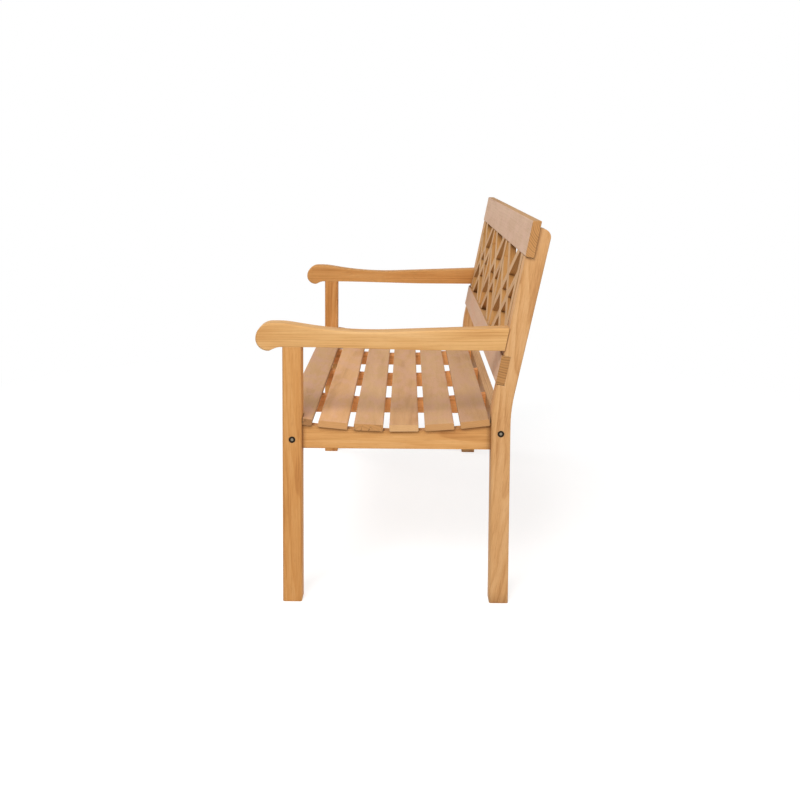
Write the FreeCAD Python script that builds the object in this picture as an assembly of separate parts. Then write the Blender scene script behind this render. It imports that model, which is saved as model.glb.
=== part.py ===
import FreeCAD, Part
import math
import os

V = FreeCAD.Vector

# Teak garden bench with a lattice back, in millimetres.
# X runs along the bench, Y from front to back and Z up.
# While the pieces are made, Y starts at the front faces of the front legs.

# End frames
bench_length = 1200.0
leg_width = 45.0
leg_depth = 45.0
leg_edge = 3.0
post_front = 490.0
post_depth = 45.0
post_top_depth = 49.0
post_top = 441.0
post_top_round = 21.0
bend_height = 466.5
bend_reach = 38.0
back_lean = 11.4

# Armrests
arm_under = 613.0
arm_rear_drop = 5.0
arm_rear_rise = 48.0
arm_waist = 33.0
arm_knob_height = 66.0
arm_knob_length = 31.0
arm_knob_drop = 10.0
arm_nose_low_reach = 29.0
arm_neck_length = 20.0
arm_neck_reach = 10.0
arm_reach = 63.0
arm_shoulder = 4.0
arm_shoulder_reach = 16.0
arm_dip = 150.0
arm_dip_reach = 100.0
arm_belly_front = 90.0
arm_belly_rear = 330.0
arm_belly_reach = 20.0
arm_edge = 5.0
arm_tenon_width = 18.0
arm_tenon_height = 26.0
arm_tenon_length = 15.0
leg_tenon_width = 20.0
leg_tenon_depth = 28.0
leg_tenon_height = 24.0

# Seat frame
end_rail_bottom = 370.0
end_rail_thick = 25.0
end_tenon_thick = 10.0
end_tenon_height = 34.0
end_tenon_length = 15.0
end_tenon_lift = 6.0
seat_rail_thick = 24.0
seat_rail_height = 45.0
seat_tenon_thick = 12.0
seat_tenon_height = 32.0
seat_tenon_length = 8.0
front_rail_bottom = 370.0
rear_rail_bottom = 387.5
bearer_count = 3
bearer_pitch = 290.0
bearer_thick = 25.0
bearer_bottom = 378.0
bearer_tenon_thick = 12.0
bearer_tenon_height = 24.0
bearer_tenon_length = 10.0

# Seat slats, on a hollow that all the bearers and end rails share
dish_radius = 1600.0
dish_setback = 17.0
dish_low = 412.3
slat_count = 6
slat_width = 69.0
slat_front_edge = -1.3
slat_thick = 16.0
slat_edge = 3.0
slat_end_inset = 5.0
slat_rear_gap = 2.3
leg_notch_gap = 1.5

# Back, measured along the leaning posts from their bend
lower_rail_start = 64.0
lower_rail_height = 68.0
lower_rail_thick = 21.0
lower_rail_proud = 4.5
back_opening = 238.0
top_rail_height = 84.0
top_rail_thick = 20.5
top_rail_overrun = 6.0
back_rail_edge = 2.5
rail_proud = 1.5
notch_gap = 1.0
panel_count = 3
stile_width = 34.0
stile_thick = 16.5
stile_recess = 1.0
stile_post_gap = 0.5
stile_tenon_thick = 8.0
stile_tenon_length = 18.0
stile_tenon_shoulder = 3.0

# Lattice: four strips in each panel leave a diamond at its middle
strip_width = 25.0
strip_thick = 16.0
strip_recess = 1.5
strip_housing = 6.0
diamond_width = 143.0
diamond_height = 97.0

# Flat-headed bolts and the square nuts let into the seat rails for them
bolt_diameter = 6.0
bolt_head_diameter = 15.0
bolt_head_height = 2.5
bolt_socket = 5.0
bolt_socket_depth = 2.0
counterbore_diameter = 16.0
counterbore_depth = 3.5
nut_width = 13.0
nut_thick = 5.0
nut_inset = 43.5

# Room left in glued joints and round the bolts
fit = 0.2
bore_room = 0.25

# Values worked out from the sizes above
half_length = bench_length / 2
inner_face = half_length - leg_width
leg_middle = half_length - leg_width / 2
lean = math.radians(back_lean)
leg_centre_y = leg_depth / 2
post_centre_y = post_front + post_depth / 2
front_rail_y = leg_centre_y - seat_rail_thick / 2
rear_rail_y = post_centre_y - seat_rail_thick / 2
bolt_drop = seat_rail_height / 2
bolt_seat = half_length - counterbore_depth
bolt_tip = inner_face - nut_inset - nut_thick
lower_rail_end = lower_rail_start + lower_rail_height
top_rail_start = lower_rail_end + back_opening
top_rail_end = top_rail_start + top_rail_height
lower_notch_depth = lower_rail_thick - lower_rail_proud
top_notch_depth = top_rail_thick - rail_proud
dish_middle = post_front / 2 + dish_setback
slat_rear_edge = post_front - slat_rear_gap
slat_pitch = (slat_rear_edge - slat_front_edge - slat_width) / (slat_count - 1)
bearer_places = [bearer_pitch * (i - (bearer_count - 1) / 2) for i in range(bearer_count)]


def block(x0, x1, y0, y1, z0, z1):
    """A box between two corners."""
    return Part.makeBox(x1 - x0, y1 - y0, z1 - z0, V(x0, y0, z0))


def rod(diameter, start, direction, length):
    """A round bar from a point along a direction."""
    return Part.makeCylinder(diameter / 2, length, start, direction)


def ease(solid, radius, chosen):
    """Rounds the edges of a solid that a test picks out."""
    return solid.makeFillet(radius, [edge for edge in solid.Edges if chosen(edge)])


def slope_off(solid, width, chosen):
    """Planes a narrow flat along the edges of a solid that a test picks out."""
    return solid.makeChamfer(width, [edge for edge in solid.Edges if chosen(edge)])


def along_x(edge):
    """True for an edge that runs along the bench."""
    first = edge.Vertexes[0].Point
    last = edge.Vertexes[-1].Point
    return abs(last.x - first.x) > max(abs(last.y - first.y), abs(last.z - first.z))


def upright(edge):
    """True for an edge that stands."""
    first = edge.Vertexes[0].Point
    last = edge.Vertexes[-1].Point
    return abs(last.z - first.z) > max(abs(last.x - first.x), abs(last.y - first.y))


def rounded_wire(corners):
    """A closed outline in the YZ plane through (y, z, reach) corners.

    The arc at a corner starts and ends at its reach from the corner.
    """
    count = len(corners)
    points = [V(0, y, z) for y, z, reach in corners]
    starts = []
    ends = []
    arcs = []
    for i in range(count):
        here = points[i]
        reach = corners[i][2]
        back = (points[i - 1] - here).normalize()
        ahead = (points[(i + 1) % count] - here).normalize()
        if reach == 0:
            starts.append(here)
            ends.append(here)
            arcs.append(None)
            continue
        half = back.getAngle(ahead) / 2
        radius = reach * math.tan(half)
        middle = here + (back + ahead).normalize() * (radius / math.sin(half) - radius)
        starts.append(here + back * reach)
        ends.append(here + ahead * reach)
        arcs.append(Part.Arc(starts[i], middle, ends[i]).toShape())
    edges = []
    for i in range(count):
        if arcs[i] is not None:
            edges.append(arcs[i])
        following = starts[(i + 1) % count]
        if ends[i].distanceToPoint(following) > 1e-6:
            edges.append(Part.LineSegment(ends[i], following).toShape())
    return Part.Wire(edges)


def prism(wire, x0, x1):
    """A board with the given end outline, from x0 to x1."""
    face = Part.Face(wire)
    face.translate(V(x0, 0, 0))
    return face.extrude(V(x1 - x0, 0, 0))


def dish_height(y):
    """Height of the seat's hollow above the floor."""
    return dish_low + dish_radius - math.sqrt(dish_radius ** 2 - (y - dish_middle) ** 2)


def dished_board(x0, x1, y0, y1, bottom):
    """A board on edge whose top follows the seat's hollow."""
    low_front = V(0, y0, bottom)
    low_rear = V(0, y1, bottom)
    top_front = V(0, y0, dish_height(y0))
    top_rear = V(0, y1, dish_height(y1))
    top_middle = V(0, (y0 + y1) / 2, dish_height((y0 + y1) / 2))
    wire = Part.Wire([
        Part.LineSegment(low_front, low_rear).toShape(),
        Part.LineSegment(low_rear, top_rear).toShape(),
        Part.Arc(top_rear, top_middle, top_front).toShape(),
        Part.LineSegment(top_front, low_front).toShape(),
    ])
    return prism(wire, x0, x1)


def lean_back(shape):
    """Moves a piece of the back from its flat layout on to the leaning posts."""
    leaning = shape.copy()
    turn = FreeCAD.Rotation(V(1, 0, 0), -back_lean)
    leaning.Placement = FreeCAD.Placement(V(0, post_front, bend_height), turn)
    return leaning


def post_face(z):
    """Y of the post's front face above the bend."""
    return post_front + (z - bend_height) * math.tan(lean)


def mirrored(shape):
    """The left-hand twin of a right-hand piece."""
    return shape.mirror(V(0, 0, 0), V(1, 0, 0))


def both_ends(shape):
    """A right-hand tool and its left-hand twin."""
    return [shape, mirrored(shape)]


def seat_rail_places():
    """Middle of the front and of the rear seat rail, as (y, z)."""
    return [(leg_centre_y, front_rail_bottom + bolt_drop), (post_centre_y, rear_rail_bottom + bolt_drop)]


def bolt_holes(y, z):
    """Bolt hole and counterbore of one right-hand leg joint."""
    inward = V(-1, 0, 0)
    face = V(half_length, y, z)
    return [
        rod(bolt_diameter + 2 * bore_room, face, inward, leg_width),
        rod(counterbore_diameter, face, inward, counterbore_depth),
    ]


def seat_tenon(y, z, room):
    """Right-hand stub tenon of a seat rail, grown by a clearance."""
    thick = seat_tenon_thick / 2 + room
    tall = seat_tenon_height / 2 + room
    end = inner_face + seat_tenon_length + room
    return block(inner_face, end, y - thick, y + thick, z - tall, z + tall)


def end_tenons(room):
    """Tenons at the two ends of the right-hand end rail, grown by a clearance."""
    low = end_rail_bottom + end_tenon_lift - room
    high = end_rail_bottom + end_tenon_lift + end_tenon_height + room
    x0 = leg_middle - end_tenon_thick / 2 - room
    x1 = leg_middle + end_tenon_thick / 2 + room
    front = block(x0, x1, leg_depth - end_tenon_length - room, leg_depth, low, high)
    rear = block(x0, x1, post_front, post_front + end_tenon_length + room, low, high)
    return front, rear


def leg_tenon(room):
    """Stub tenon on the right-hand front leg, grown by a clearance."""
    return block(
        leg_middle - leg_tenon_width / 2 - room, leg_middle + leg_tenon_width / 2 + room,
        leg_centre_y - leg_tenon_depth / 2 - room, leg_centre_y + leg_tenon_depth / 2 + room,
        arm_under, arm_under + leg_tenon_height + room)


def arm_tenon(room):
    """Tenon at the rear end of the right-hand armrest, grown by a clearance."""
    middle = arm_under - arm_rear_drop + (arm_rear_rise + arm_rear_drop) / 2
    low = middle - arm_tenon_height / 2
    high = middle + arm_tenon_height / 2
    bar = block(
        leg_middle - arm_tenon_width / 2 - room, leg_middle + arm_tenon_width / 2 + room,
        post_face(low) - leg_depth, post_face(middle) + arm_tenon_length + room,
        low - room, high + room)
    return bar.cut(arm_side_of_post())


def arm_side_of_post():
    """The space in front of the right-hand post's leaning face."""
    space = block(0, bench_length, -bench_length, 0, -post_top, 2 * post_top)
    return lean_back(space)


def front_leg():
    """Right-hand front leg."""
    leg = block(inner_face, half_length, 0, leg_depth, 0, arm_under)
    leg = slope_off(leg, leg_edge, upright)
    leg = leg.fuse(leg_tenon(0))
    joint = seat_rail_places()[0]
    holes = bolt_holes(*joint)
    holes.append(seat_tenon(*joint, fit))
    holes.append(end_tenons(fit)[0])
    return leg.cut(holes)


def rear_post():
    """Right-hand rear post: leg and back upright in one bent piece."""
    across = V(0, math.cos(lean), -math.sin(lean))
    front_top = V(0, post_front, bend_height) + V(0, math.sin(lean), math.cos(lean)) * post_top
    rear_top = front_top + across * post_top_depth
    outline = rounded_wire([
        (post_front, 0, 0),
        (post_front, bend_height, bend_reach),
        (front_top.y, front_top.z, 0),
        (rear_top.y, rear_top.z, 0),
        (post_front + post_depth, bend_height, bend_reach),
        (post_front + post_depth, 0, 0),
    ])
    post = prism(outline, inner_face, half_length)
    post = slope_off(post, leg_edge, upright)
    reach = bench_length
    hub = V(0, post_top_depth - post_top_round, post_top - post_top_round)
    corner = block(0, reach, hub.y, reach, hub.z, reach)
    corner = corner.cut(rod(2 * post_top_round, hub, V(1, 0, 0), reach))
    notches = [
        corner,
        block(0, reach, -reach, lower_notch_depth, lower_rail_start - notch_gap, lower_rail_end + fit),
        block(0, reach, -reach, top_notch_depth, top_rail_start - notch_gap, top_rail_end + post_top),
    ]
    joint = seat_rail_places()[1]
    holes = [lean_back(notch) for notch in notches]
    holes.extend(bolt_holes(*joint))
    holes.append(seat_tenon(*joint, fit))
    holes.append(end_tenons(fit)[1])
    holes.append(arm_tenon(fit))
    return post.cut(holes)


def armrest():
    """Right-hand armrest: a dipped bar that ends in a rounded scroll."""
    low_knob = arm_under - arm_knob_drop
    top_knob = low_knob + arm_knob_height
    waist = arm_under + arm_waist
    rear_low = arm_under - arm_rear_drop
    rear_high = arm_under + arm_rear_rise
    nose = -arm_reach
    knob_end = nose + arm_knob_length
    outline = rounded_wire([
        (nose, low_knob, arm_nose_low_reach),
        (nose, top_knob, arm_knob_height - arm_nose_low_reach),
        (arm_shoulder, top_knob, arm_shoulder_reach),
        (arm_dip, waist, arm_dip_reach),
        (post_face(rear_high), rear_high, 0),
        (post_face(rear_low), rear_low, 0),
        (arm_belly_rear, rear_low, arm_belly_reach),
        (arm_belly_front, arm_under, arm_belly_reach),
        (knob_end + arm_neck_length, arm_under, arm_neck_reach),
        (knob_end, low_knob, 0),
    ])
    arm = prism(outline, inner_face, half_length)
    arm = ease(arm, arm_edge, lambda edge: not along_x(edge) and edge.BoundBox.ZMin > arm_under + arm_edge)
    arm = arm.fuse(arm_tenon(0))
    return arm.cut(leg_tenon(fit))


def end_rail():
    """Right-hand end rail, tenoned between leg and post."""
    x0 = leg_middle - end_rail_thick / 2
    rail = dished_board(x0, x0 + end_rail_thick, leg_depth, post_front, end_rail_bottom)
    return rail.fuse(list(end_tenons(0)))


def seat_rail(y, bottom, inward):
    """A long rail between the end frames, with stub tenons, bored for bolts and slotted for nuts.

    The slots open to the inside of the seat: inward is 1 where that is to the rear, or -1.
    """
    rail = block(-inner_face, inner_face, y, y + seat_rail_thick, bottom, bottom + seat_rail_height)
    middle_y = y + seat_rail_thick / 2
    middle_z = bottom + bolt_drop
    rail = rail.fuse(both_ends(seat_tenon(middle_y, middle_z, 0)))
    start = V(bolt_tip, middle_y, middle_z)
    tools = both_ends(rod(bolt_diameter + 2 * bore_room, start, V(1, 0, 0), leg_middle - bolt_tip))
    half = nut_width / 2 + fit
    low = middle_y - half - (inward < 0) * seat_rail_thick
    high = middle_y + half + (inward > 0) * seat_rail_thick
    tools += both_ends(block(
        bolt_tip - fit, bolt_tip + nut_thick, low, high, middle_z - half, middle_z + half))
    return rail.cut(tools)


def bearer_tenons(x, room):
    """Tenons of the bearer at x in the front and rear seat rails, grown by a clearance."""
    tenons = []
    half = bearer_tenon_thick / 2 + room
    front_top = front_rail_bottom + seat_rail_height
    front_z = (max(bearer_bottom, front_rail_bottom) + front_top) / 2
    front_y = front_rail_y + seat_rail_thick
    rear_z = (max(bearer_bottom, rear_rail_bottom) + dish_height(rear_rail_y)) / 2
    tall = bearer_tenon_height / 2 + room
    length = bearer_tenon_length + room
    tenons.append(block(x - half, x + half, front_y - length, front_y, front_z - tall, front_z + tall))
    rear_y = rear_rail_y
    tenons.append(block(x - half, x + half, rear_y, rear_y + length, rear_z - tall, rear_z + tall))
    return tenons


def slat_spans():
    """Front and rear edge of each slat, from the front one to the rear one."""
    spans = []
    for i in range(slat_count):
        rear = slat_rear_edge - (slat_count - 1 - i) * slat_pitch
        spans.append((rear - slat_width, rear))
    return spans


def bearer(x):
    """A cross bearer: dished top, tenons, and a lip over the front seat rail."""
    x0 = x - bearer_thick / 2
    x1 = x + bearer_thick / 2
    board = dished_board(x0, x1, front_rail_y, rear_rail_y, bearer_bottom)
    rail_back = front_rail_y + seat_rail_thick
    board = board.cut(block(x0, x1, 0, rail_back, 0, front_rail_bottom + seat_rail_height))
    return board.fuse(bearer_tenons(x, 0))


def slat(front, rear):
    """One seat slat, laid on the hollow by the flat of its underside."""
    width = rear - front
    board = block(
        -half_length + slat_end_inset, half_length - slat_end_inset, -width / 2, width / 2, 0, slat_thick)
    board = ease(board, slat_edge, along_x)
    first = front + slat_edge
    last = rear - slat_edge
    rise = dish_height(last) - dish_height(first)
    tilt = math.degrees(math.atan2(rise, last - first))
    middle = V(0, (first + last) / 2, (dish_height(first) + dish_height(last)) / 2)
    board.Placement = FreeCAD.Placement(middle, FreeCAD.Rotation(V(1, 0, 0), tilt))
    return board


def seat_slat(index):
    """A slat, notched round the legs where it meets them."""
    front, rear = slat_spans()[index]
    board = slat(front, rear)
    if front > leg_depth:
        return board
    reach = leg_depth + leg_notch_gap
    inner = inner_face - leg_notch_gap
    return board.cut(both_ends(block(inner, bench_length, -bench_length, reach, 0, bench_length)))


def stile_places():
    """Middle of each stile along the bench."""
    last = inner_face - stile_post_gap - stile_width / 2
    pitch = 2 * last / panel_count
    return [-last + i * pitch for i in range(panel_count + 1)]


def stile_tenons(x, room):
    """Tenons at the foot and head of the stile at x, grown by a clearance."""
    half = stile_width / 2 - stile_tenon_shoulder + room
    y0 = stile_recess - rail_proud + (stile_thick - stile_tenon_thick) / 2 - room
    y1 = y0 + stile_tenon_thick + 2 * room
    length = stile_tenon_length + room
    foot = block(x - half, x + half, y0, y1, lower_rail_end - length, lower_rail_end)
    head = block(x - half, x + half, y0, y1, top_rail_start, top_rail_start + length)
    return foot, head


def panel_centres():
    """Middle of each lattice panel along the bench."""
    places = stile_places()
    return [(places[i] + places[i + 1]) / 2 for i in range(panel_count)]


def panel_room(centre, growth):
    """The opening of a panel, grown into the pieces round it."""
    places = stile_places()
    half = (places[1] - places[0] - stile_width) / 2 + growth
    return block(
        centre - half, centre + half, -bench_length, bench_length,
        lower_rail_end - growth, top_rail_start + growth)


def strip_bar(centre, direction, side, y0, y1, room):
    """An endless strip of the lattice: direction 1 falls to the right, side picks one of a pair."""
    across = diamond_width / 2
    upward = diamond_height / 2
    slope = math.atan2(upward, across)
    offset = side / math.hypot(1 / across, 1 / upward)
    reach = bench_length
    bar = block(-reach, reach, y0, y1, offset - strip_width / 2 - room, offset + strip_width / 2 + room)
    turn = FreeCAD.Rotation(V(0, 1, 0), direction * math.degrees(slope))
    middle = (lower_rail_end + top_rail_start) / 2
    bar.Placement = FreeCAD.Placement(V(centre, 0, middle), turn)
    return bar


def lattice_strips(centre):
    """The four strips of one panel, halved over each other."""
    front = strip_recess - rail_proud
    middle = front + strip_thick / 2
    rear = front + strip_thick
    pieces = []
    for direction in (1, -1):
        for side in (1, -1):
            bar = strip_bar(centre, direction, side, front, rear, 0)
            bar = bar.common(panel_room(centre, strip_housing))
            near, far = (middle, rear) if direction == 1 else (front, middle)
            laps = [strip_bar(centre, -direction, other, near, far, fit) for other in (1, -1)]
            pieces.append(bar.cut(laps))
    return pieces


def lattice_housings(centre):
    """The pockets that the strips of one panel need in the rails and stiles."""
    front = strip_recess - rail_proud - fit
    rear = front + strip_thick + 2 * fit
    room = panel_room(centre, strip_housing + fit).cut(panel_room(centre, 0))
    bars = [strip_bar(centre, d, s, front, rear, fit) for d in (1, -1) for s in (1, -1)]
    return [bar.common(room) for bar in bars]


def all_housings():
    """Pockets for every strip of the back."""
    return [pocket for centre in panel_centres() for pocket in lattice_housings(centre)]


def back_stile(x):
    """A stile of the back, in its flat layout."""
    y0 = stile_recess - rail_proud
    stile = block(
        x - stile_width / 2, x + stile_width / 2, y0, y0 + stile_thick, lower_rail_end, top_rail_start)
    stile = stile.fuse(list(stile_tenons(x, 0)))
    return stile.cut(all_housings())


def back_rail(start, end, thick, proud, rise, overrun, which):
    """A long rail of the back in its flat layout, its top edge higher at the rear by a rise.

    It stands proud of the posts' fronts and runs past their sides by an overrun. The last
    value picks the mortises for the stiles' feet or heads.
    """
    rear = thick - proud
    outline = rounded_wire([
        (-proud, start, 0),
        (-proud, end, 0),
        (rear, end + rise, 0),
        (rear, start, 0),
    ])
    reach = half_length + overrun
    rail = prism(outline, -reach, reach)
    rail = ease(rail, back_rail_edge, along_x)
    tools = [stile_tenons(x, fit)[which] for x in stile_places()]
    tools += all_housings()
    return rail.cut(tools)


def frame_bolt(y, z):
    """Right-hand socket-head bolt."""
    outward = V(1, 0, 0)
    bolt = rod(bolt_head_diameter, V(bolt_seat, y, z), outward, bolt_head_height)
    bolt = bolt.fuse(rod(bolt_diameter, V(bolt_tip, y, z), outward, bolt_seat - bolt_tip))
    points = []
    for i in range(7):
        turn = math.radians(60 * i)
        radius = bolt_socket / math.sqrt(3)
        face = bolt_seat + bolt_head_height
        points.append(V(face, y + radius * math.cos(turn), z + radius * math.sin(turn)))
    socket = Part.Face(Part.makePolygon(points)).extrude(V(-bolt_socket_depth, 0, 0))
    return bolt.cut(socket)


def square_nut(y, z):
    """Right-hand nut, drawn against the outer side of its slot, flush with the bolt's tip."""
    half = nut_width / 2
    nut = block(bolt_tip, bolt_tip + nut_thick, y - half, y + half, z - half, z + half)
    return nut.cut(rod(bolt_diameter + 2 * bore_room, V(bolt_tip, y, z), V(1, 0, 0), nut_thick))


def group(make):
    """One fastener for each leg joint, as separate solids in one node."""
    solids = []
    for y, z in seat_rail_places():
        solids += both_ends(make(y, z))
    return Part.makeCompound(solids)


def bench():
    """Every piece of the bench by its node's name."""
    pieces = {}
    pairs = {
        "front_leg": front_leg(),
        "rear_post": rear_post(),
        "armrest": armrest(),
        "end_rail": end_rail(),
    }
    for name, shape in pairs.items():
        pieces[name + "_right"] = shape
        pieces[name + "_left"] = mirrored(shape)
    tenons = [bearer_tenons(x, fit) for x in bearer_places]
    front = seat_rail(front_rail_y, front_rail_bottom, 1)
    rear = seat_rail(rear_rail_y, rear_rail_bottom, -1)
    pieces["front_seat_rail"] = front.cut([foremost for foremost, rearmost in tenons])
    pieces["rear_seat_rail"] = rear.cut([rearmost for foremost, rearmost in tenons])
    for number, x in enumerate(bearer_places, 1):
        pieces["seat_bearer_%d" % number] = bearer(x)
    for index in range(slat_count):
        pieces["seat_slat_%d" % (index + 1)] = seat_slat(index)
    lower = back_rail(lower_rail_start, lower_rail_end, lower_rail_thick, lower_rail_proud, 0, 0, 0)
    level = top_rail_thick * math.tan(lean)
    top = back_rail(top_rail_start, top_rail_end, top_rail_thick, rail_proud, level, top_rail_overrun, 1)
    pieces["back_lower_rail"] = lean_back(lower)
    pieces["back_top_rail"] = lean_back(top)
    for number, x in enumerate(stile_places(), 1):
        pieces["back_stile_%d" % number] = lean_back(back_stile(x))
    for panel, centre in enumerate(panel_centres(), 1):
        for number, strip in enumerate(lattice_strips(centre), 1):
            pieces["lattice_%d_strip_%d" % (panel, number)] = lean_back(strip)
    pieces["frame_bolts"] = group(frame_bolt)
    pieces["square_nuts"] = group(square_nut)
    return pieces


def main():
    """Writes every piece, with the origin under the middle of the whole bench."""
    os.makedirs("parts", exist_ok=True)
    pieces = bench()
    whole = FreeCAD.BoundBox()
    for shape in pieces.values():
        whole.add(shape.optimalBoundingBox(False, False))
    shift = V(-whole.Center.x, -whole.Center.y, -whole.ZMin)
    for name, shape in pieces.items():
        shape.translate(shift)
        shape.exportStep("parts/%s.step" % name)
        print(name, len(shape.Solids), "solids", round(shape.Volume), "mm3", shape.isValid())
    print("size", whole.XLength, whole.YLength, whole.ZLength, "shift", shift)


main()
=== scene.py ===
# %% [markdown]
# # A teak garden bench
# The bench is a fixed frame of solid teak: two legs and two bent posts, six slats on a dished
# seat, scrolled arms and a back of crossed lattice strips. The joinery comes from the CAD model,
# so this lesson adds what CAD leaves out: the wood itself, the metal of the bolts, the heads of
# the small screws, the plugs, and a plain studio to look at it in.

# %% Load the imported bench
import math
import random

import bmesh
import bpy
from mathutils import Matrix, Vector


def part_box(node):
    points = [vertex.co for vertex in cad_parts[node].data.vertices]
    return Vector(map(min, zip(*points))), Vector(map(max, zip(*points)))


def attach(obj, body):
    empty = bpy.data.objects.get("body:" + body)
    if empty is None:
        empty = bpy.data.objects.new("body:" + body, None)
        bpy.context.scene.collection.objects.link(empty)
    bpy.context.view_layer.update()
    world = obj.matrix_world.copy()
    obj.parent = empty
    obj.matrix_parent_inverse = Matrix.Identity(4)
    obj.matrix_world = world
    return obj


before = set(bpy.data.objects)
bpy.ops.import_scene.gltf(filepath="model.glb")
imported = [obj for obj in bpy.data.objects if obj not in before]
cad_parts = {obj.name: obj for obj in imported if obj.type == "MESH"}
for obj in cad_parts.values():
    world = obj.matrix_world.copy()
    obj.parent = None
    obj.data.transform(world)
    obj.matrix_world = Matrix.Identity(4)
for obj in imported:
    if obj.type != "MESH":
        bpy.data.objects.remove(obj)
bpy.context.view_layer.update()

# %% [markdown]
# ## The camera
# The picture was taken from the end of the bench, a little higher than its back. The lens's axis
# meets the picture well above its middle, as in a cropped picture or with a shifted lens. A wider
# lens and a crop would waste pixels, so the lens is shifted here. Place, angles and focal length
# were fitted to the bench's corners.

# %% Set up the camera
picture_side = 800.0
focal_pixels = 954.79
middle_x, middle_y = 400.85, 231.79
yaw, pitch, roll = -0.0068, -0.0810, 0.0063
eye = Vector((2.79240, 0.01073, 1.06216))

ahead = Vector((-math.cos(pitch) * math.cos(yaw), math.cos(pitch) * math.sin(yaw), math.sin(pitch)))
level = Vector((math.sin(yaw), math.cos(yaw), 0.0))
upward = level.cross(ahead)
right = level * math.cos(roll) + upward * math.sin(roll)
top = upward * math.cos(roll) - level * math.sin(roll)

lens = bpy.data.cameras.new("camera")
lens.sensor_width = 36.0
lens.lens = focal_pixels * lens.sensor_width / picture_side
lens.shift_x = 0.5 - middle_x / picture_side
lens.shift_y = middle_y / picture_side - 0.5
camera = bpy.data.objects.new("camera", lens)
camera.matrix_world = Matrix.Translation(eye) @ Matrix((right, top, -ahead)).transposed().to_4x4()
bpy.context.scene.collection.objects.link(camera)
bpy.context.scene.camera = camera
print("camera at", list(eye), "lens", round(lens.lens, 2), "mm")

# %% [markdown]
# ## Small helpers for node trees
# A material is a chain of small nodes. Adding a node, setting its inputs and linking them takes
# several lines each time, so one helper does it: a socket that is given is linked, and a number
# or a colour is set. Colours are written as they look on screen, from 0 to 255.

# %% Define the node helpers
def blank(owner):
    owner.use_nodes = True
    owner.node_tree.nodes.clear()
    return owner.node_tree


def put(tree, kind, feeds, **settings):
    node = tree.nodes.new(kind)
    for name, value in settings.items():
        setattr(node, name, value)
    for place, value in feeds.items():
        if isinstance(value, bpy.types.NodeSocket):
            tree.links.new(value, node.inputs[place])
        else:
            node.inputs[place].default_value = value
    return node


def sums(tree, way, one, other):
    return put(tree, "ShaderNodeMath", {0: one, 1: other}, operation=way).outputs[0]


def vectors(tree, way, *parts):
    return put(tree, "ShaderNodeVectorMath", dict(enumerate(parts)), operation=way).outputs


def spread(tree, value, low, high, to_low=0.0, to_high=1.0, soft=True):
    way = "SMOOTHSTEP" if soft else "LINEAR"
    feeds = {"Value": value, "From Min": low, "From Max": high, "To Min": to_low, "To Max": to_high}
    return put(tree, "ShaderNodeMapRange", feeds, interpolation_type=way).outputs[0]


def mixed(tree, share, one, other):
    feeds = {0: share, 6: one, 7: other}
    return put(tree, "ShaderNodeMix", feeds, data_type="RGBA").outputs[2]


def colour(red, green, blue):
    shares = (red / 255.0, green / 255.0, blue / 255.0)
    return [s / 12.92 if s <= 0.04045 else ((s + 0.055) / 1.055) ** 2.4 for s in shares] + [1.0]


def shaded(tone, share):
    return [part * share for part in tone[:3]] + [1.0]


print("node helpers ready; a middle teak tone is", [round(c, 3) for c in colour(206, 152, 96)])

# %% [markdown]
# ## The studio
# The bench was photographed on white. A white room could be built round it, but its walls would
# throw light back on the wood. The world is plain white light instead: it lights the bench
# gently, and rays that come from the camera or from a shiny surface see it at full white.

# %% Make the world
white = (1.0, 1.0, 1.0, 1.0)
room_strength = 0.36


def seen_directly(tree):
    path = put(tree, "ShaderNodeLightPath", {}).outputs
    shiny = sums(tree, "MAXIMUM", path["Is Glossy Ray"], path["Is Transmission Ray"])
    return sums(tree, "MAXIMUM", path["Is Camera Ray"], shiny)


world = bpy.data.worlds.new("studio")
sky = blank(world)
room_light = put(sky, "ShaderNodeBackground", {"Color": white, "Strength": room_strength})
white_wall = put(sky, "ShaderNodeBackground", {"Color": white, "Strength": 1.0})
feeds = {0: seen_directly(sky), 1: room_light.outputs[0], 2: white_wall.outputs[0]}
either = put(sky, "ShaderNodeMixShader", feeds)
put(sky, "ShaderNodeOutputWorld", {0: either.outputs[0]})
bpy.context.scene.world = world
print("studio world made, room light", room_strength)

# %% [markdown]
# The floor is a sheet of pale paper. It keeps a soft shadow near the bench and turns to the same
# white further out, so no horizon line shows. Seen from below it is clear, so that the underside
# of the seat can be looked at too. It lies a hair below the feet, because two faces in one plane
# would show as blotches.

# %% Lay the floor
floor_half, floor_drop = 14.0, 0.0004
paper_grey, paper_lift = (0.55, 0.55, 0.55, 1.0), 0.66
shadow_reach, white_reach = 0.9, 2.4

shape = bmesh.new()
bmesh.ops.create_grid(shape, x_segments=1, y_segments=1, size=floor_half)
bmesh.ops.translate(shape, verts=shape.verts, vec=(0.0, 0.0, -floor_drop))
floor_mesh = bpy.data.meshes.new("floor")
shape.to_mesh(floor_mesh)
shape.free()
floor = bpy.data.objects.new("floor", floor_mesh)
bpy.context.scene.collection.objects.link(floor)

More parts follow.
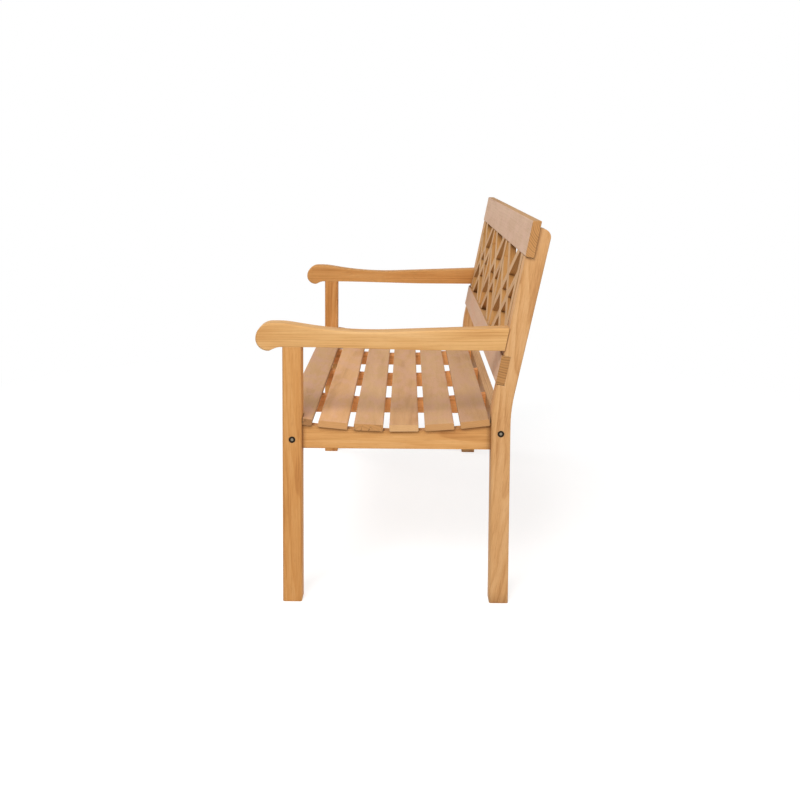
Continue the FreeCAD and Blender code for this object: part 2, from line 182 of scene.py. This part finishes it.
paper = bpy.data.materials.new("floor_paper")
tree = blank(paper)
direct = seen_directly(tree)
spot = put(tree, "ShaderNodeTexCoord", {}).outputs["Object"]
reach = vectors(tree, "LENGTH", spot)["Value"]
far_out = sums(tree, "MULTIPLY", spread(tree, reach, shadow_reach, white_reach), direct)
matt = put(tree, "ShaderNodeBsdfDiffuse", {"Color": paper_grey})
lift = put(tree, "ShaderNodeEmission", {"Strength": sums(tree, "MULTIPLY", direct, paper_lift)})
near = put(tree, "ShaderNodeAddShader", {0: matt.outputs[0], 1: lift.outputs[0]})
plain = put(tree, "ShaderNodeEmission", {"Strength": 1.0})
both = put(tree, "ShaderNodeMixShader", {0: far_out, 1: near.outputs[0], 2: plain.outputs[0]})
below = put(tree, "ShaderNodeNewGeometry", {}).outputs["Backfacing"]
clear = put(tree, "ShaderNodeBsdfTransparent", {})
sheet = put(tree, "ShaderNodeMixShader", {0: below, 1: both.outputs[0], 2: clear.outputs[0]})
put(tree, "ShaderNodeOutputMaterial", {0: sheet.outputs[0]})
floor_mesh.materials.append(paper)
print("floor laid,", 2 * floor_half, "m wide")

# %% [markdown]
# ## The lamps
# Four large soft boxes stand round the bench: one high behind the camera, one close behind it,
# one in front of the far end and one behind the back, so that no side is left grey. The high one
# is the strongest and draws the shadows under the slats and rails. One small lamp would make hard
# black shadows, so the boxes are big and not strong, and a colour looks about as it is written.

# %% Hang the lamps
near_half, bench_middle = (0.2, 0.0, 0.5), (0.0, 0.0, 0.5)


def soft_box(name, place, aim, side, watts):
    light = bpy.data.lights.new(name, "AREA")
    light.shape = "SQUARE"
    light.size = side
    light.energy = watts
    lamp = bpy.data.objects.new(name, light)
    lamp.location = place
    lamp.rotation_euler = (Vector(aim) - Vector(place)).to_track_quat("-Z", "Y").to_euler()
    bpy.context.scene.collection.objects.link(lamp)


soft_box("lamp_high", (4.2, -1.6, 4.8), near_half, side=2.6, watts=206.0)
soft_box("lamp_beside_camera", (3.6, 0.0, 1.3), near_half, side=2.4, watts=15.0)
soft_box("lamp_in_front", (-1.6, -2.8, 1.7), bench_middle, side=2.0, watts=27.0)
soft_box("lamp_behind", (2.4, 4.2, 1.8), near_half, side=2.4, watts=75.0)
bpy.context.scene.view_settings.view_transform = "Standard"

# %% [markdown]
# ## Teak
# Teak is a honey-brown wood with growth rings a few millimetres apart, fine straight fibres and
# open pores that show as short dark dashes. A picture of wood would smear on the end grain and
# repeat, so the wood is made as a solid: rings round a pith line that runs beside each piece,
# as in the log it was sawn from. Long faces then show lines and arches, and sawn ends show arcs,
# without a seam anywhere. Each board has its own place in the log, so no two look alike.

# %% Lay the wood along a piece
millimetres = 1000.0


def grain_place(tree, along, face, centre, pith, lean, slide):
    turn = Matrix.Rotation(lean, 3, Vector(along).cross(Vector(face)))
    down = (turn @ Vector(along)).normalized()
    out = (Vector(face) - down * down.dot(Vector(face))).normalized()
    rows = Matrix((down, out, down.cross(out)))
    shift = Vector((slide, pith[0], pith[1])) - rows @ (Vector(centre) * millimetres)
    spot = put(tree, "ShaderNodeTexCoord", {}).outputs
    feeds = {"Vector": spot["Object"], "Location": shift,
             "Rotation": rows.to_euler(), "Scale": (millimetres, millimetres, millimetres)}
    place = put(tree, "ShaderNodeMapping", feeds, vector_type="POINT").outputs[0]
    towards = vectors(tree, "DOT_PRODUCT", spot["Normal"], along)["Value"]
    front = vectors(tree, "DOT_PRODUCT", spot["Normal"], face)["Value"]
    return place, sums(tree, "ABSOLUTE", towards, 0.0), front


def streaks(tree, place, waves, detail=2.0, rough=0.5):
    scaled = vectors(tree, "MULTIPLY", place, waves)[0]
    feeds = {"Vector": scaled, "Scale": 1.0, "Detail": detail, "Roughness": rough}
    return put(tree, "ShaderNodeTexNoise", feeds).outputs


print("grain runs along each piece, in millimetres from its pith")

# %% [markdown]
# The rings are the distance from the pith, cut into steps. Each ring starts pale and ends in a
# narrow dark line, and some rings are darker than others, which a separate number for each ring
# gives. Slow noise bends the pith line first, so that the arches are never perfect.

# %% Grow the rings
wander_waves = (0.0022, 0.016, 0.016)
late_wood_from, ring_line = 0.25, 0.93
faintest_ring = 0.35


def growth_rings(tree, place, spacing, bend):
    slow = streaks(tree, place, wander_waves)["Color"]
    middle = vectors(tree, "SUBTRACT", slow, (0.5, 0.5, 0.5))[0]
    bent = vectors(tree, "MULTIPLY_ADD", middle, (0.0, bend, bend), place)[0]
    flat = vectors(tree, "MULTIPLY", bent, (0.0, 1.0, 1.0))[0]
    count = sums(tree, "DIVIDE", vectors(tree, "LENGTH", flat)["Value"], spacing)
    share = sums(tree, "FRACT", count, 0.0)
    rise = spread(tree, share, late_wood_from, ring_line)
    fall = spread(tree, share, ring_line, 1.0, 1.0, 0.0)
    feeds = {"W": sums(tree, "FLOOR", count, 0.0)}
    number = put(tree, "ShaderNodeTexWhiteNoise", feeds, noise_dimensions="1D").outputs["Value"]
    strength = spread(tree, number, 0.0, 1.0, faintest_ring, 1.0, soft=False)
    return sums(tree, "MULTIPLY", sums(tree, "MULTIPLY", rise, fall), strength)


print("rings grow round the pith, the faintest at", faintest_ring, "of full strength")

# %% [markdown]
# Rings, fibres and a slow drift of tone together make a board's figure. They could be three
# layers of paint, but a board has one scale from dark to pale, so they are added up first and a
# ramp of three tones colours the sum.

# %% Colour a board
noise_range = (0.25, 0.75)
fibre_waves, fibre_share = (0.007, 0.50, 0.50), 0.17
drift_waves, drift_light = (0.0030, 0.022, 0.022), (0.34, 0.74)
ring_share = 0.26
deep_step, middle_step, pale_step = 0.05, 0.45, 0.85


def board_light(tree, fibre, drift, rings, figure):
    lines = spread(tree, fibre, *noise_range, -1.0, 1.0, soft=False)
    light = sums(tree, "MULTIPLY", lines, fibre_share * figure)
    light = sums(tree, "ADD", light, spread(tree, drift, *noise_range, *drift_light, soft=False))
    return sums(tree, "SUBTRACT", light, sums(tree, "MULTIPLY", rings, ring_share * figure))


def board_colour(tree, light, tones):
    ramp = put(tree, "ShaderNodeValToRGB", {0: light})
    steps = ramp.color_ramp.elements
    steps[0].position, steps[0].color = deep_step, tones[0]
    steps[1].position, steps[1].color = pale_step, tones[2]
    steps.new(middle_step).color = tones[1]
    return ramp.outputs[0]


print("a board's light is one sum, coloured by a ramp of three tones")

# %% [markdown]
# Sun and rain fade the faces that look outward: as a whole on the back, and in clouds of pale
# haze on the slats and on the back's two rails. The pale tones are also painted sheen, standing
# in for the white glancing light that these faces catch. A second material on those faces would
# end in a hard line, so the direction of the surface decides, softly, how faded it is.

# %% Fade the outer faces and paint their sheen
sun_and_sheen_turn, haze_and_sheen_turn = (0.5, 0.9), (0.3, 0.7)
cloud_waves, cloud_range = (0.011, 0.028, 0.028), (0.42, 0.64)


# Outward faces turn paler: sun fading, and painted sheen for the glancing light they catch.
def faded_and_sheened(tree, wood, light, front, sun_and_sheen):
    faded = mixed(tree, light, *sun_and_sheen)
    return mixed(tree, spread(tree, front, *sun_and_sheen_turn), wood, faded)


# Pale clouds on outward faces: weathered haze, and painted sheen.
def hazed_and_sheened(tree, wood, place, front, haze, haze_tone):
    cloud = streaks(tree, place, cloud_waves, detail=3.0, rough=0.6)[0]
    share = spread(tree, cloud, *cloud_range, 0.0, haze)
    share = sums(tree, "MULTIPLY", share, spread(tree, front, *haze_and_sheen_turn))
    return mixed(tree, share, wood, haze_tone)


print("faces fade where they look outward, fully from", sun_and_sheen_turn[1])

# %% [markdown]
# Sawn ends soak up oil and look deeper, and their rings show as arcs. An end that has dried too
# fast splits. Splits could be cut into the mesh, but these are as thin as hairs, so they are
# drawn: as the borders of ragged cells, and only in patches.

# %% Saw and split the ends
end_turn = (0.75, 0.95)
end_ring_dark, split_dark = 0.35, 0.35
split_waves, ragged_waves, ragged_push = (0.0, 0.040, 0.050), (0.0, 0.17, 0.17), (0.0, 0.9, 0.9)
split_edge, split_core, split_strength = 0.060, 0.018, 0.9
patch_waves, patch_range = (0.0, 0.05, 0.05), (0.42, 0.56)


def sawn_colour(tree, rings, tone, sawn_rings):
    share = sums(tree, "MULTIPLY", rings, sawn_rings)
    return mixed(tree, share, tone, shaded(tone, end_ring_dark))


def split_colour(tree, cut, place, deep):
    wide = vectors(tree, "MULTIPLY", place, split_waves)[0]
    ragged = streaks(tree, place, ragged_waves)["Color"]
    warped = vectors(tree, "MULTIPLY_ADD", ragged, ragged_push, wide)[0]
    feeds = {"Vector": warped, "Scale": 1.0}
    cells = put(tree, "ShaderNodeTexVoronoi", feeds, feature="DISTANCE_TO_EDGE").outputs["Distance"]
    crack = spread(tree, cells, split_edge, split_core, 0.0, split_strength)
    patches = spread(tree, streaks(tree, place, patch_waves, detail=1.0)[0], *patch_range)
    return mixed(tree, sums(tree, "MULTIPLY", crack, patches), cut, shaded(deep, split_dark))


print("ends are sawn, and some are split")

# %% [markdown]
# Handling leaves the edges a little paler, and the paler edges also stand in as a painted
# highlight where a rounded edge catches the light. Corners, creases and faces under overhangs get
# painted shade. Both could be painted by hand, but nodes find them on every board at once: the
# Bevel node finds the edges, by how far the rounded surface turns from the flat one, and the
# Ambient Occlusion node finds the corners.

# %% Pale the edges and paint shade into the corners
pale_edge_from, pale_edge_full, pale_edge_share = 0.99, 0.80, 0.7
shade_dark, side_turn, corner_samples = 0.45, (0.3, 0.7), 4


# Edges turn paler: partly wear from handling, partly a painted highlight where a rounded edge catches
# the light.
def worn_and_highlit_colour(tree, wood, eased, drift, pale):
    plain = put(tree, "ShaderNodeNewGeometry", {}).outputs["Normal"]
    match = vectors(tree, "DOT_PRODUCT", eased, plain)["Value"]
    pale_edge = spread(tree, match, pale_edge_from, pale_edge_full, 0.0, pale_edge_share)
    return mixed(tree, sums(tree, "MULTIPLY", pale_edge, drift), wood, pale)


# Painted shade: the Ambient Occlusion node darkens corners, creases and faces under overhangs.
def corner_shaded_colour(tree, wood, deep, front, sawn, grime=0.55, shade_reach=0.03,
                 shade_range=(0.8, 0.15), shade_sides_only=False):
    feeds = {"Distance": shade_reach}
    occlusion = put(tree, "ShaderNodeAmbientOcclusion", feeds, samples=corner_samples).outputs["AO"]
    painted_shade = spread(tree, occlusion, *shade_range, 0.0, grime)
    painted_shade = sums(tree, "MULTIPLY", painted_shade, sums(tree, "SUBTRACT", 1.0, sawn))
    if shade_sides_only:
        side = spread(tree, sums(tree, "ABSOLUTE", front, 0.0), *side_turn)
        painted_shade = sums(tree, "MULTIPLY", painted_shade, side)
    return mixed(tree, painted_shade, wood, shaded(deep, shade_dark))


print("edges wear by up to", pale_edge_share, "of the pale tone, and corners keep dirt")

# %% [markdown]
# One function puts the whole finish together. Pores darken the wood. The Bevel node also rounds
# the edges for the light, by up to three millimetres, as sandpaper does. The grain stands up a
# little, because rain takes the soft wood away first, and the sheen is low, as on wood that is
# oiled and not varnished.

# %% Mix the teak finish
fine_waves = (0.030, 1.9, 1.9)
pore_waves, pore_range, pore_share = (0.045, 1.5, 1.5), (0.60, 0.72), 0.30
fibre_height, ring_height = 0.8, 0.3
fine_range, rough_range, sawn_rough = (0.3, 0.7), (0.56, 0.68), 0.1


def grain_relief(tree, fine, fibre, pores, rings, eased):
    raised = sums(tree, "ADD", fine, sums(tree, "MULTIPLY", fibre, fibre_height))
    sunk = sums(tree, "ADD", pores, sums(tree, "MULTIPLY", rings, ring_height))
    feeds = {"Strength": 0.35, "Distance": 0.0003, "Normal": eased,
             "Height": sums(tree, "SUBTRACT", raised, sunk)}
    return put(tree, "ShaderNodeBump", feeds).outputs[0]


def teak(name, along, face, centre, tones, spacing=4.6, pith=(70.0, 9.0), lean=0.012, slide=0.0,
         bend=16.0, figure=1.0, sun_and_sheen=None, haze=0.0, haze_tone=None, sawn_tone=None,
         sawn_rings=0.75, soak=0.55, split=False, ease=0.0016, **shade_settings):
    made = bpy.data.materials.new(name)
    tree = blank(made)
    deep, pale = tones[0], tones[2]
    place, end, front = grain_place(tree, along, face, centre, pith, lean, slide)
    rings = growth_rings(tree, place, spacing, bend)
    fibre = streaks(tree, place, fibre_waves, detail=3.0, rough=0.6)[0]
    fine = streaks(tree, place, fine_waves)[0]
    drift = streaks(tree, place, drift_waves)[0]
    pores = spread(tree, streaks(tree, place, pore_waves, detail=1.0)[0], *pore_range)

    light = board_light(tree, fibre, drift, rings, figure)
    wood = board_colour(tree, light, tones)
    if sun_and_sheen:
        wood = faded_and_sheened(tree, wood, light, front, sun_and_sheen)
    if haze:
        wood = hazed_and_sheened(tree, wood, place, front, haze, haze_tone)
    wood = mixed(tree, sums(tree, "MULTIPLY", pores, pore_share), wood, deep)

    sawn = spread(tree, end, *end_turn)
    cut = sawn_colour(tree, rings, sawn_tone or deep, sawn_rings)
    if split:
        cut = split_colour(tree, cut, place, deep)
    wood = mixed(tree, sums(tree, "MULTIPLY", sawn, soak), wood, cut)

    eased = put(tree, "ShaderNodeBevel", {"Radius": ease}, samples=corner_samples).outputs[0]
    wood = worn_and_highlit_colour(tree, wood, eased, drift, pale)
    wood = corner_shaded_colour(tree, wood, deep, front, sawn, **shade_settings)
    rough = spread(tree, fine, *fine_range, *rough_range, soft=False)
    rough = sums(tree, "ADD", rough, sums(tree, "MULTIPLY", sawn, sawn_rough))
    feeds = {"Base Color": wood, "Roughness": rough, "Specular IOR Level": 0.25,
             "Normal": grain_relief(tree, fine, fibre, pores, rings, eased)}
    shader = put(tree, "ShaderNodeBsdfPrincipled", feeds)
    put(tree, "ShaderNodeOutputMaterial", {0: shader.outputs[0]})
    return made


print("teak finish ready")

# %% [markdown]
# ## Tones of the boards
# Boards from one batch still differ. One arm is the palest of all, the legs and the rails of the
# seat are warmer, and the slats and the back have gone greyer in the sun; those pale, grey tones
# also stand in as painted sheen for the glancing light on those faces. Each tone is three
# colours: the dark of the late wood, the body of the board, and the pale early wood. A face that
# the sun has faded needs only its darkest and its palest.

# %% Choose the tones
honey = (colour(180, 116, 54), colour(222, 168, 104), colour(238, 192, 134))
amber = (colour(164, 98, 42), colour(210, 148, 82), colour(228, 174, 110))
flax = (colour(166, 104, 50), colour(211, 154, 91), colour(229, 179, 119))
wheat = (colour(168, 108, 56), colour(215, 161, 104), colour(232, 186, 134))
tan = (colour(162, 108, 64), colour(205, 158, 108), colour(224, 179, 132))
# shady is a darker tone for the back's stiles and strips: painted shade for their deep recesses.
shady = (colour(132, 88, 42), colour(184, 131, 73), colour(204, 154, 96))
olive = (colour(150, 100, 52), colour(190, 140, 86), colour(208, 161, 106))
rust = (colour(170, 106, 54), colour(230, 158, 94), colour(242, 180, 116))
plug_brown = (colour(140, 82, 36), colour(188, 124, 66), colour(206, 146, 88))
# Sunned and bleached tones: faded wood, and painted sheen.
sun_and_sheen_straw = (colour(176, 128, 80), colour(228, 187, 136))
sun_and_sheen_grey = (colour(186, 140, 104), colour(230, 198, 168))
end_pale = colour(220, 172, 119)
end_amber = colour(197, 141, 84)
end_brown = colour(183, 130, 76)
# A darker end tone for the first slat: painted shadow of the front leg.
end_shaded = colour(160, 112, 68)
bleached_and_sheen = colour(212, 164, 132)
bleached_and_sheen_pale = colour(222, 184, 160)
print("nine tones of teak, two sunned ones, four for sawn ends and two for haze")

# %% [markdown]
# Each board gets its own small difference of tone and its own place in the log. They could be
# written down board by board, but a seeded chance draws them, so every run draws the same.

# %% Give each board its own wood
chance = random.Random(21)
tone_play, lean_play = 0.03, 0.02
pith_near, pith_far, pith_aside = 45.0, 110.0, 25.0
log_length = 4000.0
across, deep_way, tall = Vector((1.0, 0.0, 0.0)), Vector((0.0, 1.0, 0.0)), Vector((0.0, 0.0, 1.0))


def dress(node, material):
    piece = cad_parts[node]
    piece.data.materials.clear()
    piece.data.materials.append(material)


def heart(node):
    low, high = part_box(node)
    return (low + high) / 2.0


def varied(tones, level):
    level = level + chance.uniform(-tone_play, tone_play)
    warm = chance.uniform(-tone_play, tone_play)
    return [[c[0] * level * (1 + warm), c[1] * level, c[2] * level * (1 - warm), 1.0] for c in tones]


def own_wood(node, along, face, tones, level=1.0, **more):
    pith = (chance.uniform(pith_near, pith_far), chance.uniform(-pith_aside, pith_aside))
    settings = {"pith": pith, "lean": chance.uniform(-lean_play, lean_play)}
    settings["slide"] = chance.uniform(0.0, log_length)
    settings.update(more)
    dress(node, teak(node + "_teak", along, face, heart(node), varied(tones, level), **settings))


print("a seeded chance for each board, from a log of", log_length, "mm")

# %% [markdown]
# ## The frame
# Legs stand upright, and so does their grain. A bent post is sawn from one straight plank, so its
# grain runs straight on, between the directions of its two halves. Arms, end rails and bearers
# run from front to back, and the seat rails run the length of the bench. Painted shade darkens the
# side of the end rails under the slats' ends, as their shadow, but not their top edge between the
# slats, and it darkens the posts where the rails and arms meet them.

# %% Dress the frame
lean_angle = math.radians(11.4)
post_angle = lean_angle * 0.7
leaning = Vector((0.0, math.sin(lean_angle), math.cos(lean_angle)))
post_grain = Vector((0.0, math.sin(post_angle), math.cos(post_angle)))
leg_levels = {"left": 1.0, "right": 0.94}
arm_boards = {"left": (amber, 1.05, 100.0), "right": (honey, 0.95, 700.0)}
# The posts get painted shade where the rails and arms meet them.
post_looks = {"spacing": 9.0, "pith": (42.0, 6.0), "lean": 0.045, "bend": 34.0, "figure": 0.85,
              "ease": 0.003, "grime": 0.45, "shade_range": (0.98, 0.5)}
# The end rails get painted shadow under the slats' ends, on their sides only.
end_rail_looks = {"spacing": 5.2, "grime": 0.9, "shade_reach": 0.012, "shade_range": (0.97, 0.55),
                  "shade_sides_only": True}
for side in ("left", "right"):
    own_wood("front_leg_" + side, tall, across, amber, leg_levels[side], ease=0.003, grime=0.15)
    own_wood("rear_post_" + side, post_grain, across, wheat, level=0.95, **post_looks)
    arm_tones, arm_level, cut_from = arm_boards[side]
    own_wood("armrest_" + side, deep_way, tall, arm_tones, arm_level,
             lean=0.008, spacing=3.6, slide=cut_from)
    own_wood("end_rail_" + side, deep_way, across, flax, **end_rail_looks)
own_wood("front_seat_rail", across, deep_way, amber)
own_wood("rear_seat_rail", across, deep_way, tan, grime=0.25)
# The bearers' tone is lifted well above their own colour: painted light where they show in the gaps
# between the slats.
for number in (1, 2, 3):
    own_wood("seat_bearer_%d" % number, deep_way, across, rust, level=1.27, grime=0.25)
print("frame dressed")

# %% [markdown]
# ## The seat
# The slats are flat boards, sawn so that the rings lie almost flat in them, which gives broad
# arches. They lie open to the rain, so a pale haze covers them, and the haze is also painted sheen
# for the glancing light on their tops. The first and the third have split ends, and the third has
# the widest rings.

# %% Dress the seat
slat_levels = (0.98, 1.17, 1.07, 1.05, 0.98, 0.86)
slat_looks = {"spacing": 5.0, "figure": 0.3, "haze": 0.6, "sawn_tone": end_amber,
              "sawn_rings": 0.15, "soak": 0.7, "ease": 0.0025}
# The first slat's end takes the darker end tone, as painted shadow of the front leg.
special_slats = {1: {"haze": 0.9, "sawn_tone": end_shaded, "soak": 0.9, "split": True},
                 3: {"spacing": 8.0, "bend": 40.0, "sawn_rings": 0.5, "soak": 0.9, "split": True},
                 4: {"sawn_tone": end_pale}}
for number, level in enumerate(slat_levels, 1):
    looks = {**slat_looks, **special_slats.get(number, {}), "haze_tone": shaded(bleached_and_sheen, level)}
    own_wood("seat_slat_%d" % number, across, tall, tan, level, **looks)
print("slats dressed:", len(slat_levels))

# %% [markdown]
# ## The back
# The two rails of the back are cut from the side of the log, so their ends show rings that cross
# the board. The stiles lean with the posts. The strips of the lattice slope both ways in that
# leaning plane, so each gets the direction of its own slope. The fronts of all of them are faded,
# and the paler fronts are also painted sheen.

# %% Dress the back
outward = Vector((0.0, -math.cos(lean_angle), math.sin(lean_angle)))
back_rail_looks = {"figure": 0.5, "soak": 0.9, "ease": 0.003, "haze": 0.5, "sun_and_sheen": sun_and_sheen_grey}
own_wood("back_top_rail", across, outward, olive, spacing=5.0, pith=(55.0, 60.0),
         sawn_tone=end_amber, haze_tone=bleached_and_sheen_pale, **back_rail_looks)
own_wood("back_lower_rail", across, outward, olive, spacing=6.4, pith=(6.0, 95.0),
         sawn_tone=end_brown, haze_tone=bleached_and_sheen, **back_rail_looks)
# The stiles and strips take the darker tone and strong corner darkening: painted shade for the lattice's
# narrow recesses.
lattice_looks = {"grime": 0.8, "sun_and_sheen": sun_and_sheen_straw}
for number in (1, 2, 3, 4):
    own_wood("back_stile_%d" % number, leaning, outward, shady, **lattice_looks)
strip_rise, strip_run = 97.0, 143.0
slope = math.atan2(strip_rise, strip_run)
for panel in (1, 2, 3):
    for strip in (1, 2, 3, 4):
        way = -1.0 if strip < 3 else 1.0
        run = across * math.cos(slope) + leaning * math.sin(slope) * way
        node = "lattice_%d_strip_%d" % (panel, strip)
        own_wood(node, run, outward, shady, spacing=4.0, **lattice_looks)
print("back dressed")

# %% [markdown]
# ## The bolts and nuts
# Four bolts hold the seat rails to the legs and posts. Their heads are dark bronze and brighter
# in the middle. The distance from the bolt's own line tells the middle from the rim, which a
# second material could not do so softly. The square nuts inside the rails are plain zinc-coated
# steel.

# %% Make the metals
spot_scale, spot_range, spot_dark = 420.0, (0.35, 0.7), 0.55
bright_edge, bright_core = 0.0036, 0.0026
scuff_range, smoother, rougher = (0.3, 0.7), 0.08, 0.14


def metal(name, base, rough, centres=(), bright=None):
    made = bpy.data.materials.new(name)
    tree = blank(made)
    spot = put(tree, "ShaderNodeTexCoord", {}).outputs["Object"]
    feeds = {"Vector": spot, "Scale": spot_scale, "Detail": 4.0}
    spots = put(tree, "ShaderNodeTexNoise", feeds).outputs[0]
    shade = mixed(tree, spread(tree, spots, *spot_range), base, shaded(base, spot_dark))
    if centres:
        flat = vectors(tree, "MULTIPLY", spot, (0.0, 1.0, 1.0))[0]
        gaps = [vectors(tree, "DISTANCE", flat, (0.0, c[1], c[2]))["Value"] for c in centres]
        nearest = gaps[0]
        for gap in gaps[1:]:
            nearest = sums(tree, "MINIMUM", nearest, gap)
        shade = mixed(tree, spread(tree, nearest, bright_edge, bright_core), shade, bright)
    scuff = spread(tree, spots, *scuff_range, rough - smoother, rough + rougher, soft=False)
    relief = put(tree, "ShaderNodeBump", {"Strength": 0.25, "Distance": 0.0001, "Height": spots})
    feeds = {"Base Color": shade, "Metallic": 0.85, "Roughness": scuff, "Normal": relief.outputs[0]}
    shader = put(tree, "ShaderNodeBsdfPrincipled", feeds)
    put(tree, "ShaderNodeOutputMaterial", {0: shader.outputs[0]})
    return made


def islands(node):
    shape = bmesh.new()
    shape.from_mesh(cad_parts[node].data)
    bmesh.ops.remove_doubles(shape, verts=shape.verts, dist=1e-6)
    left, middles = set(shape.verts), []
    while left:
        found, edge = set(), [left.pop()]
        while edge:
            vert = edge.pop()
            found.add(vert)
            near = [e.other_vert(vert) for e in vert.link_edges]
            edge += [v for v in near if v in left]
            left.difference_update(near)
        low = [min(v.co[i] for v in found) for i in range(3)]
        high = [max(v.co[i] for v in found) for i in range(3)]
        middles.append([(a + b) / 2.0 for a, b in zip(low, high)])
    shape.free()
    return sorted(middles)


bolt_lines = islands("frame_bolts")
bolt_middle_bright = colour(158, 148, 130)
bolt_bronze = metal("bolt_bronze", colour(50, 41, 32), rough=0.55, centres=bolt_lines, bright=bolt_middle_bright)
dress("frame_bolts", bolt_bronze)
dress("square_nuts", metal("nut_zinc", colour(168, 170, 172), rough=0.38))
print("bolts at", [[round(c, 4) for c in line] for line in bolt_lines])

# %% [markdown]
# ## The screws under the seat
# Each slat is held from below by a steel screw through each bearer, so only the round heads show,
# and only from underneath. A head could be cut from a block, but a lathe makes it, so half its
# outline is spun here. The top ring is then pulled into six sides and sunk, for the key.

# %% Turn a screw head
head_outline = [(0.42, 1.0), (0.62, 1.0), (0.86, 0.86), (0.97, 0.58), (1.0, 0.3), (1.0, 0.0)]
head_steps, key_turn, key_depth = 24, math.pi / 3, 0.7


def screw_head(radius, height):
    shape = bmesh.new()
    ring = [shape.verts.new((out * radius, 0.0, up * height)) for out, up in head_outline]
    line = [shape.edges.new(pair) for pair in zip(ring, ring[1:])]
    bmesh.ops.spin(shape, geom=ring + line, cent=(0, 0, 0), axis=(0, 0, 1), angle=2 * math.pi,
                   steps=head_steps, use_merge=True)
    rim = [e for e in shape.edges if e.is_boundary and e.verts[0].co.z > height / 2]
    for vert in {v for e in rim for v in e.verts}:
        turn = math.atan2(vert.co.y, vert.co.x) % key_turn - key_turn / 2
        vert.co.xy *= math.cos(key_turn / 2) / math.cos(turn)
    sunk = bmesh.ops.extrude_edge_only(shape, edges=rim)["geom"]
    floor_ring = [g for g in sunk if isinstance(g, bmesh.types.BMVert)]
    bmesh.ops.translate(shape, verts=floor_ring, vec=(0, 0, -key_depth * height))
    bmesh.ops.holes_fill(shape, edges=[e for e in shape.edges if e.is_boundary])
    bmesh.ops.recalc_face_normals(shape, faces=shape.faces)
    return shape


print("a screw head is spun in", head_steps, "steps")

# %% [markdown]
# All the screws are alike, so one head is made and set at every place. A ray that is sent up to
# the bearer finds its lower edge, and the head sits square on what the ray hits. The middle of
# the first slat lies over the front seat rail, so its screws stand a little further back.

# %% Set the screws
screw_radius, screw_height = 0.004, 0.0024
first_slat_shift, ray_height = 0.016, 0.1


def stamp(name, shape, places):
    joined = bmesh.new()
    single = bpy.data.meshes.new(name + "_single")
    shape.to_mesh(single)
    shape.free()
    for place in places:
        before = len(joined.verts)
        joined.from_mesh(single)
        joined.verts.ensure_lookup_table()
        bmesh.ops.transform(joined, matrix=place, verts=joined.verts[before:])
    made = bpy.data.meshes.new(name)
    joined.to_mesh(made)
    joined.free()
    bpy.data.meshes.remove(single)
    piece = bpy.data.objects.new(name, made)
    bpy.context.scene.collection.objects.link(piece)
    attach(piece, "root")
    return piece


def seat_at(node, start, way, depth):
    spot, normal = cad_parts[node].ray_cast(start, way)[1:3]
    turn = normal.to_track_quat("Z", "Y").to_matrix().to_4x4()
    return Matrix.Translation(spot - normal * depth) @ turn


bpy.context.view_layer.update()
screw_places = []
for number in (1, 2, 3):
    bearer = "seat_bearer_%d" % number
    for slat in range(1, len(slat_levels) + 1):
        y = heart("seat_slat_%d" % slat).y + (first_slat_shift if slat == 1 else 0.0)
        start = (heart(bearer).x, y, ray_height)
        screw_places.append(seat_at(bearer, start, (0.0, 0.0, 1.0), 0.0))
slat_screws = stamp("slat_screws", screw_head(screw_radius, screw_height), screw_places)
slat_screws.data.materials.append(metal("screw_zinc", colour(172, 172, 170), rough=0.34))
lowest = min(m.translation.z for m in screw_places)
print("slat screws:", len(screw_places), "lowest at", round(lowest, 4))

# %% [markdown]
# ## The plugs behind the back
# The rails of the back are held by long screws from behind, through the posts. Their holes are
# closed with turned teak plugs, glued in and sanded nearly flush. A plug could be a circle drawn
# on the post, but a real one catches the light at its rim, so it is a short round bar with a
# softened edge. Its grain runs along the leaning back, and it comes from another board.

# %% Set the plugs into the posts
plug_radius, plug_length, plug_edge, plug_sunk = 0.005, 0.0012, 0.0003, 0.0003
plug_heights = {"back_lower_rail": (0.25, 0.75), "back_top_rail": (0.2, 0.55)}

shape = bmesh.new()
bmesh.ops.create_cone(shape, cap_ends=True, segments=32, radius1=plug_radius, radius2=plug_radius,
                      depth=plug_length)
rim = [e for e in shape.edges if all(v.co.z > 0 for v in e.verts)]
bmesh.ops.bevel(shape, geom=rim, offset=plug_edge, offset_type="OFFSET", affect="EDGES", segments=2,
                profile=0.5, material=-1)
plug_places = []
for side in ("left", "right"):
    post = "rear_post_" + side
    for rail, shares in plug_heights.items():
        low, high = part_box(rail)
        for share in shares:
            start = (heart(post).x, 1.0, low.z + (high.z - low.z) * share)
            plug_places.append(seat_at(post, start, (0.0, -1.0, 0.0), plug_sunk))
post_plugs = stamp("post_plugs", shape, plug_places)
plug_teak = teak("post_plugs_teak", leaning, deep_way, (0.0, 0.3, 0.7), plug_brown, ease=0.0004)
post_plugs.data.materials.append(plug_teak)
heights = sorted({round(m.translation.z, 3) for m in plug_places})
print("post plugs:", len(plug_places), "at heights", heights)
